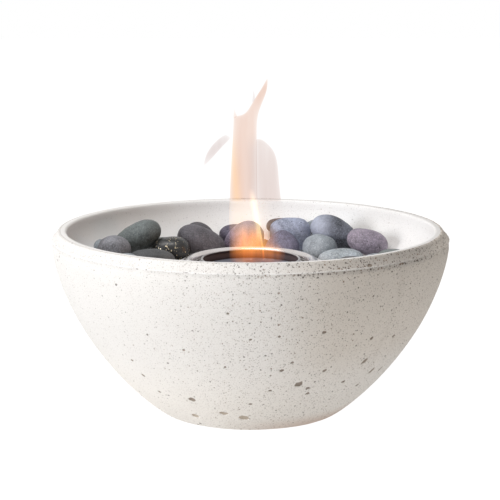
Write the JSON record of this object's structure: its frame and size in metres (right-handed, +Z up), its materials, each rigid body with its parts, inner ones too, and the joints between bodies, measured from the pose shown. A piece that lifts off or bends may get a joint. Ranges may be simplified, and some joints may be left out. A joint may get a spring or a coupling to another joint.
{
  "type": "tabletop fire bowl",
  "caption": "Round cast concrete tabletop fire bowl with a ring of river pebbles around a lift-out steel holder that carries an open can of gel fuel.",
  "frame": {"origin": "centre of the bowl at the level of the surface that it stands on", "axes": "+Z up along the bowl's axis, -Y towards the viewer"},
  "size_m": [0.29, 0.29, 0.136],
  "materials": {
    "concrete": "cast fibre concrete, off-white with dark specks and fine pits",
    "felt": "dense dark felt",
    "stainless": "polished stainless sheet",
    "tinplate": "bright tinplate",
    "gel": "clear bluish gel, wet",
    "pebble_slate": "tumbled, matt",
    "pebble_green": "tumbled, matt",
    "pebble_black": "tumbled, polished",
    "pebble_charcoal": "tumbled, matt",
    "pebble_light": "tumbled, matt",
    "pebble_mauve": "tumbled, matt"
  },
  "bodies": {
    "bowl_with_pebbles": {"bowl": "concrete", "felt_pad_1": "felt", "felt_pad_2": "felt", "felt_pad_3": "felt", "felt_pad_4": "felt", "pebble_01": "pebble_slate", "pebble_02": "pebble_green", "pebble_03": "pebble_black", "pebble_04": "pebble_charcoal", "pebble_05": "pebble_light", "pebble_06": "pebble_charcoal", "pebble_07": "pebble_charcoal", "pebble_08": "pebble_charcoal", "pebble_09": "pebble_charcoal", "pebble_10": "pebble_slate", "pebble_11": "pebble_mauve", "pebble_12": "pebble_light", "pebble_13": "pebble_slate", "pebble_14": "pebble_light", "pebble_15": "pebble_mauve", "pebble_16": "pebble_light", "pebble_17": "pebble_green", "pebble_18": "pebble_slate", "pebble_19": "pebble_mauve", "pebble_20": "pebble_slate", "pebble_21": "pebble_charcoal", "pebble_22": "pebble_light", "pebble_23": "pebble_green", "pebble_24": "pebble_charcoal", "pebble_25": "pebble_slate", "pebble_26": "pebble_black", "pebble_27": "pebble_slate", "pebble_28": "pebble_light", "pebble_29": "pebble_green", "pebble_30": "pebble_slate", "pebble_31": "pebble_mauve", "pebble_32": "pebble_slate", "pebble_33": "pebble_charcoal", "pebble_34": "pebble_green", "pebble_35": "pebble_charcoal", "pebble_36": "pebble_light", "pebble_37": "pebble_green", "pebble_38": "pebble_light", "pebble_39": "pebble_charcoal", "pebble_40": "pebble_green", "pebble_41": "pebble_black", "pebble_42": "pebble_mauve", "pebble_43": "pebble_light", "pebble_44": "pebble_slate", "pebble_45": "pebble_charcoal", "pebble_46": "pebble_slate", "pebble_47": "pebble_green", "pebble_48": "pebble_slate"},
    "holder": {"can_holder": "stainless"},
    "fuel_can": {"can_wall": "tinplate", "can_bottom": "tinplate", "can_top": "tinplate", "fuel_gel": "gel"}
  },
  "joints": [
    {"name": "holder_lift", "type": "slide", "parent": "bowl_with_pebbles", "child": "holder", "axis": [0, 0, 1], "range_m": [0, 0.12]},
    {"name": "can_lift", "type": "slide", "parent": "holder", "child": "fuel_can", "axis": [0, 0, 1], "range_m": [0, 0.11]}
  ]
}
